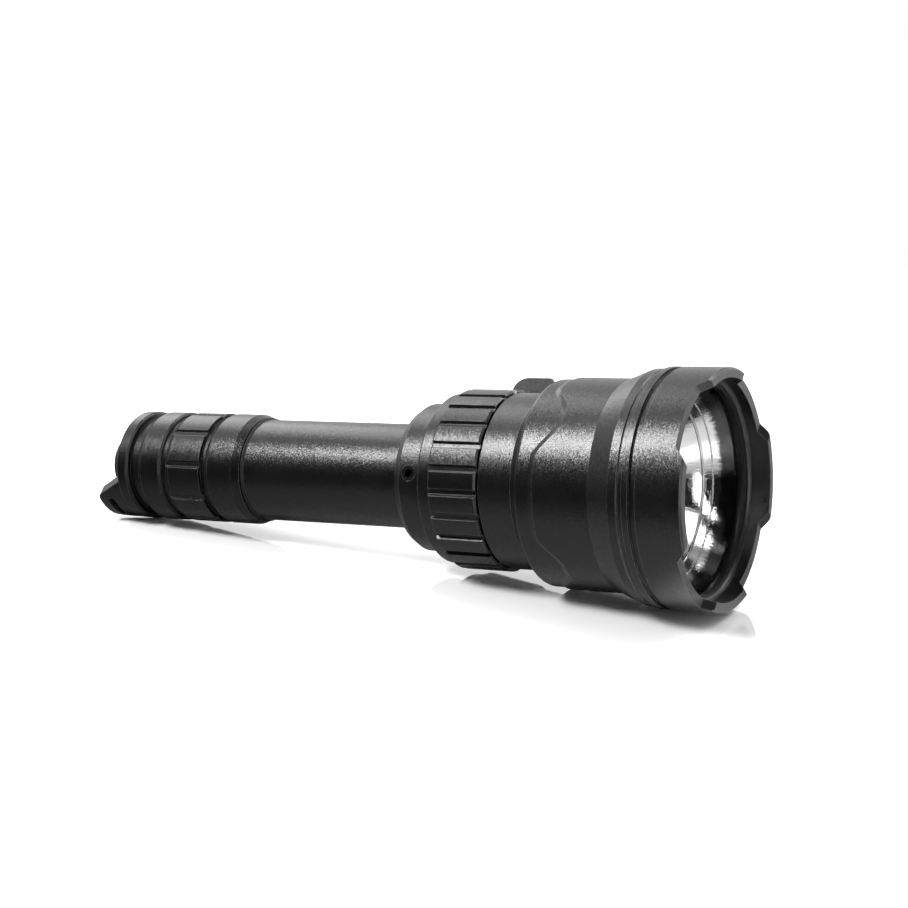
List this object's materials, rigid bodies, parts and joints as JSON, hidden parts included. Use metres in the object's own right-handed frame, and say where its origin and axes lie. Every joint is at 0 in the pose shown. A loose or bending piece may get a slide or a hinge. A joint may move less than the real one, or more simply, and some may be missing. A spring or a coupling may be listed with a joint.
{
  "type": "infrared illuminator torch",
  "caption": "Handheld infrared torch with a crenellated bezel, a scalloped head, a focus ring with a throw lever, a slim battery tube and a tail push switch.",
  "frame": {"origin": "on the lamp's axis in the plane of the bezel's tooth tips, where it stands on its head", "axes": "+Z from the lit front towards the tail switch; a bezel tooth lies on each of +X, -X, +Y and -Y"},
  "size_m": [0.055, 0.055, 0.1715],
  "materials": {
    "body_black": "black anodised, fine bead-blasted, matte",
    "window": "polished flat glass",
    "seal_black": "smooth black rubber",
    "reflector_silver": "polished bright bowl",
    "screw_black": "blackened steel",
    "carriage_metal": "bare turned",
    "board_white": "white board",
    "emitter_yellow": "ceramic",
    "emitter_dome": "clear dome",
    "board_green": "circuit board",
    "contact_brass": "turned brass",
    "cell_wrap": "wrapped cell",
    "switch_black": "moulded",
    "button_black": "matte rubber",
    "spring_steel": "plated wire",
    "pin_steel": "ground"
  },
  "bodies": {
    "main_body": {"bezel_ring": "body_black", "window_seal": "seal_black", "window_glass": "window", "reflector": "reflector_silver", "head_housing": "body_black", "drag_seal": "seal_black", "rear_collar": "body_black", "collar_screw": "screw_black", "driver_board": "board_green", "driver_contact": "contact_brass", "battery_cell": "cell_wrap", "body_tube": "body_black", "tail_seal": "seal_black"},
    "focus_ring": {"focus_ring": "body_black"},
    "emitter_carriage": {"led_carriage": "carriage_metal", "led_board": "board_white", "led_package": "emitter_yellow", "led_dome": "emitter_dome", "cam_pin_1": "pin_steel", "cam_pin_2": "pin_steel", "cam_pin_3": "pin_steel"},
    "cap_spring": {"tail_spring": "spring_steel"},
    "tail_cap": {"tail_cap": "body_black", "switch_keeper": "contact_brass", "switch_board": "board_green", "switch_body": "switch_black"},
    "tail_button": {"tail_button": "button_black", "switch_plunger": "switch_black"}
  },
  "joints": [
    {"name": "focus_travel", "type": "slide", "parent": "main_body", "child": "emitter_carriage", "axis": [0, 0, 1], "range_m": [-0.00225, 0.00225]},
    {"name": "focus_turn", "type": "hinge", "parent": "main_body", "child": "focus_ring", "pos_m": [0, 0, 0.0596], "axis": [0, 0, 1], "range_deg": [-40.5, 40.5]},
    {"name": "cap_travel", "type": "slide", "parent": "main_body", "child": "cap_spring", "axis": [0, 0, 1], "range_m": [0, 0.006]},
    {"name": "cap_turn", "type": "hinge", "parent": "cap_spring", "child": "tail_cap", "pos_m": [0, 0, 0.13], "axis": [0, 0, 1], "range_deg": [0, 1441]},
    {"name": "button_press", "type": "slide", "parent": "tail_cap", "child": "tail_button", "axis": [0, 0, -1], "range_m": [0, 0.0015], "stiffness_N_per_m": 1500, "springref_m": -0.0015}
  ],
  "couplings": [
    {"joint": "focus_turn", "follows": "focus_travel", "rad_per_m": -310.28},
    {"joint": "cap_turn", "follows": "cap_travel", "rad_per_m": 4188.8}
  ]
}
